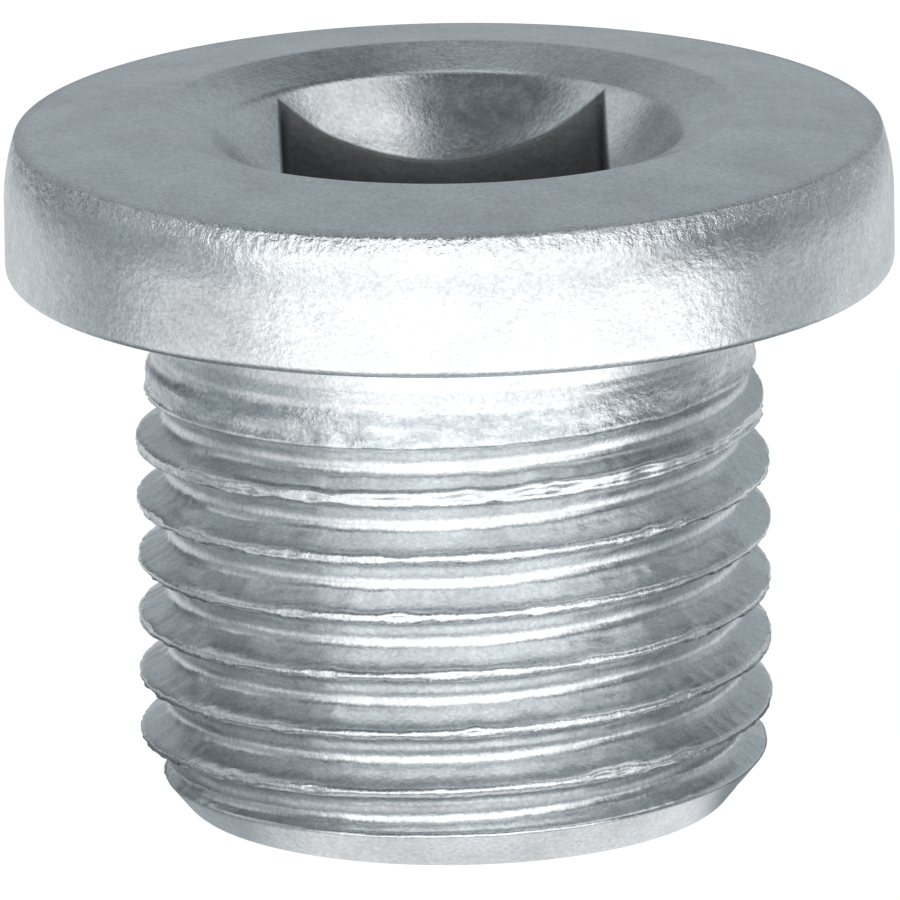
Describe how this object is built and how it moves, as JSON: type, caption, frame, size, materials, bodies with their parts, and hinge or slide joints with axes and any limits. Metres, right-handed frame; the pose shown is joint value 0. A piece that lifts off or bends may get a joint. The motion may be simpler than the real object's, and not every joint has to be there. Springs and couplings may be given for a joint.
{
  "type": "flanged screw plug with square socket",
  "caption": "Round flanged drain plug with a dished square key socket in its head and a fine metric thread below a plain neck.",
  "frame": {"origin": "centre of the flat end face of the threaded shank, on which the plug stands", "axes": "+Z along the thread axis towards the head; X and Y square to the flats of the socket"},
  "size_m": [0.0222, 0.0222, 0.0177],
  "materials": {
    "zinc_plated_steel": "zinc-plated, satin with fine grain, brighter on worn crests"
  },
  "bodies": {
    "root": {"plug": "zinc_plated_steel"}
  },
  "joints": []
}
